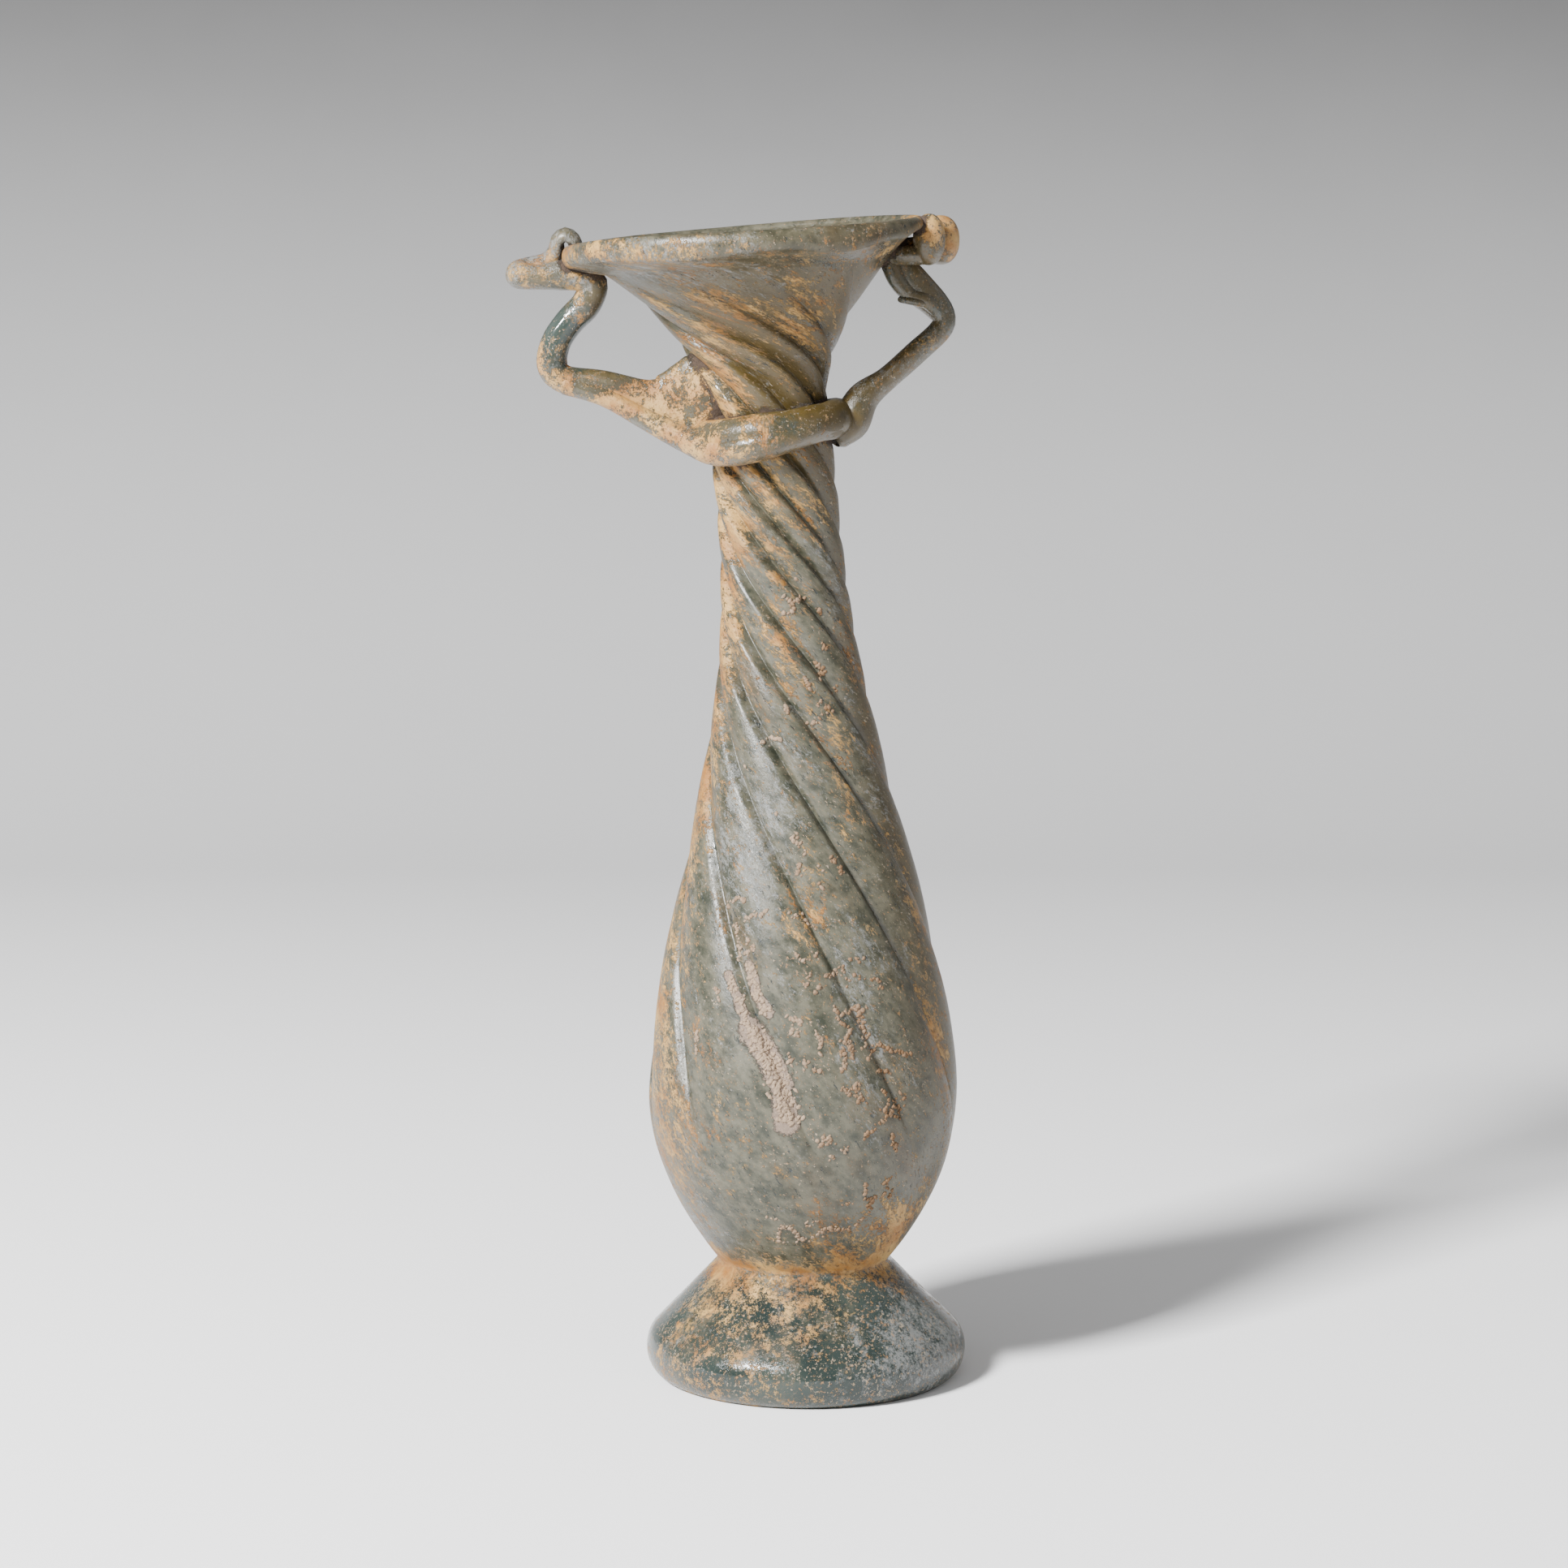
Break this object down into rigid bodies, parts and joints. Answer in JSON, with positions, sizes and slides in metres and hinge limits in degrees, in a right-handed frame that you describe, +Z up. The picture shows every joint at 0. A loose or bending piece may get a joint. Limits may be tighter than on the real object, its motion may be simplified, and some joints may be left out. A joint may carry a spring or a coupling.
{
  "type": "glass vase",
  "caption": "Tall blown glass vase with a folded foot, spiral-ribbed pear body, funnel mouth, neck coil and trailed zig-zag handles; holds liquid.",
  "frame": {"origin": "middle of the underside of the vase's own box, on the surface it stands on", "axes": "+Z up along the vase; -Y is the front, with one handle to each side; the neck and mouth lean towards -X"},
  "size_m": [0.0738, 0.0582, 0.1904],
  "materials": {
    "weathered_glass": "weathered, mostly matt film with silvery sheen"
  },
  "bodies": {
    "root": {"glass_vase": "weathered_glass"}
  },
  "joints": []
}
